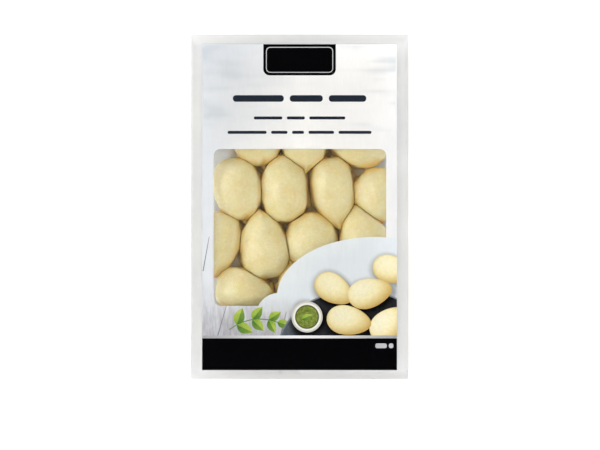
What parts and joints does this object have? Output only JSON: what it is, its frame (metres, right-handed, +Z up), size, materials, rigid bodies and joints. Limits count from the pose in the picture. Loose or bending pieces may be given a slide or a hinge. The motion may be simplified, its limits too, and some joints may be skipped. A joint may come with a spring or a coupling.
{
  "type": "sealed tray pack of filled potato gnocchi",
  "caption": "Flat rectangular clear food tray with a sealed printed film lid; a clear window in the film shows one loose layer of plump filled potato gnocchi.",
  "frame": {"origin": "middle of the underside of the tray floor, with the pack lying on its back", "axes": "+X across the pack to the right of the print, +Y to the top edge of the print, +Z up out of the printed film"},
  "size_m": [0.145, 0.23, 0.0265],
  "materials": {
    "dough": "soft, slightly moist potato dough, creamy yellow",
    "clear_tray": "clear thermoformed plastic sheet, glossy",
    "printed_film": "printed lidding film with a clear window, smooth, slight gloss"
  },
  "bodies": {
    "root": {"tray": "clear_tray", "lid_film": "printed_film", "gnocchi_01": "dough", "gnocchi_02": "dough", "gnocchi_03": "dough", "gnocchi_04": "dough", "gnocchi_05": "dough", "gnocchi_06": "dough", "gnocchi_07": "dough", "gnocchi_08": "dough", "gnocchi_09": "dough", "gnocchi_10": "dough", "gnocchi_11": "dough", "gnocchi_12": "dough", "gnocchi_13": "dough", "gnocchi_14": "dough", "gnocchi_15": "dough", "gnocchi_16": "dough", "gnocchi_17": "dough", "gnocchi_18": "dough", "gnocchi_19": "dough", "gnocchi_20": "dough", "gnocchi_21": "dough", "gnocchi_22": "dough", "gnocchi_23": "dough", "gnocchi_24": "dough"}
  },
  "joints": []
}
